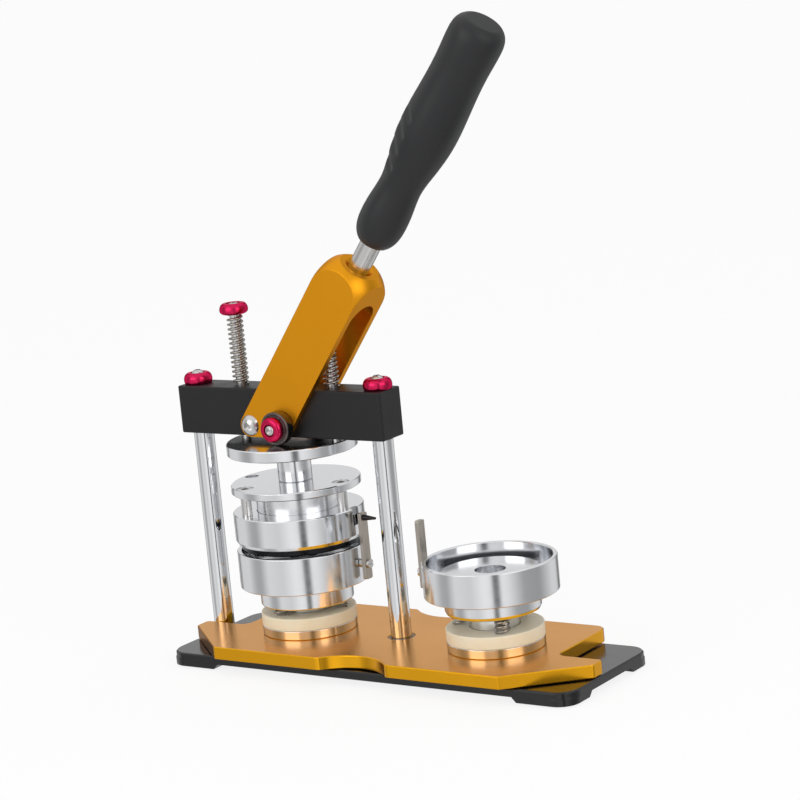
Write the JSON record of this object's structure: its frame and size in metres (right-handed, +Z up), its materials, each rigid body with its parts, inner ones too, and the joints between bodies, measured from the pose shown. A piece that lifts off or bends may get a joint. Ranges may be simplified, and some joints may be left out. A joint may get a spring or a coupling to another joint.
{
  "type": "button badge maker",
  "caption": "Bench lever press with a swivelling two-station die plate for round button badges; a roller fork lever drives a sprung ram with an upper die.",
  "frame": {"origin": "on the table plane, under the axis of the swivel column, which is the middle of the base", "axes": "+X along the base from the press towards the second die station, +Y to the rear, +Z up"},
  "size_m": [0.2744, 0.102, 0.3671],
  "materials": {
    "gold_anodised": "satin anodised, machined",
    "black_base": "gloss black anodised",
    "black_beam": "satin black",
    "chrome": "polished",
    "blackened_steel": "black oxide",
    "steel": "plain zinc and steel",
    "spring_steel": "drawn wire",
    "red_anodised": "gloss anodised",
    "nylon": "natural cast nylon",
    "bronze": "turned",
    "grip_rubber": "soft-touch moulded",
    "foot_rubber": "matt"
  },
  "bodies": {
    "frame": {"base_plate": "black_base", "rubber_feet": "foot_rubber", "base_screws": "steel", "thrust_washer": "steel", "column_left": "chrome", "column_right": "chrome", "crossbeam": "black_beam", "column_cap_washers": "red_anodised", "column_cap_screws": "steel", "return_spring_left": "spring_steel", "return_spring_right": "spring_steel"},
    "turntable": {"rotary_plate": "gold_anodised", "swivel_bush": "bronze", "seat_disc_a": "chrome", "buffer_ring_a": "nylon", "die_core_a": "chrome", "die_screw_a": "steel", "die_springs_a": "spring_steel", "seat_disc_b": "chrome", "buffer_ring_b": "nylon", "die_core_b": "chrome", "die_screw_b": "steel", "die_springs_b": "spring_steel"},
    "float_a": {"float_ring_a": "chrome", "latch_screw_a": "steel"},
    "float_b": {"float_ring_b": "chrome", "latch_screw_b": "steel"},
    "latch_a": {"latch_arm_a": "steel", "latch_pin_a": "blackened_steel"},
    "latch_b": {"latch_arm_b": "steel"},
    "ram": {"push_plate": "chrome", "ram_rod": "chrome", "guide_bolts": "steel", "guide_heads": "red_anodised", "upper_flange": "chrome", "upper_punch": "blackened_steel"},
    "pressure_ring": {"upper_ring": "chrome", "ring_bolts": "steel"},
    "lever": {"lever_fork": "gold_anodised", "handle_shaft": "chrome", "handle_grip": "grip_rubber", "pivot_axle": "steel", "pivot_screws": "steel", "roller_washers": "red_anodised", "roller_screws": "steel"},
    "front_roller": {"roller_front": "blackened_steel"},
    "rear_roller": {"roller_rear": "blackened_steel"}
  },
  "joints": [
    {"name": "lever_pull", "type": "hinge", "parent": "frame", "child": "lever", "pos_m": [-0.0817, 0, 0.1401], "axis": [0, 1, 0], "range_deg": [0, 38]},
    {"name": "ram_slide", "type": "slide", "parent": "frame", "child": "ram", "axis": [0, 0, 1], "range_m": [-0.0146, 0], "stiffness_N_per_m": 2000, "springref_m": 0.04, "deforming": ["return_spring_left", "return_spring_right"]},
    {"name": "pressure_ring_slide", "type": "slide", "parent": "ram", "child": "pressure_ring", "axis": [0, 0, 1], "range_m": [0, 0.01119]},
    {"name": "plate_swivel", "type": "hinge", "parent": "frame", "child": "turntable", "pos_m": [0, 0, 0.0168], "axis": [0, 0, 1], "range_deg": [0, 180]},
    {"name": "die_float_a", "type": "slide", "parent": "turntable", "child": "float_a", "axis": [0, 0, 1], "range_m": [-0.0035, 0], "stiffness_N_per_m": 6000, "springref_m": 0.004, "deforming": ["die_springs_a"]},
    {"name": "die_float_b", "type": "slide", "parent": "turntable", "child": "float_b", "axis": [0, 0, 1], "range_m": [-0.0035, 0], "stiffness_N_per_m": 6000, "springref_m": 0.004, "deforming": ["die_springs_b"]},
    {"name": "latch_swing_a", "type": "hinge", "parent": "float_a", "child": "latch_a", "pos_m": [-0.0236, 0.0038, 0.0573], "axis": [1, 0, 0], "range_deg": [0, 20]},
    {"name": "latch_swing_b", "type": "hinge", "parent": "float_b", "child": "latch_b", "pos_m": [0.0236, -0.0038, 0.0573], "axis": [-1, 0, 0], "range_deg": [0, 20]},
    {"name": "front_roller_spin", "type": "hinge", "parent": "lever", "child": "front_roller", "pos_m": [-0.0597, -0.0185, 0.1401], "axis": [0, 1, 0], "continuous": true},
    {"name": "rear_roller_spin", "type": "hinge", "parent": "lever", "child": "rear_roller", "pos_m": [-0.0597, 0.0185, 0.1401], "axis": [0, 1, 0], "continuous": true}
  ],
  "couplings": [
    {"joint": "ram_slide", "follows": "lever_pull", "m_per_rad": -0.022},
    {"joint": "pressure_ring_slide", "follows": "lever_pull", "m_per_rad": 0.016723}
  ]
}
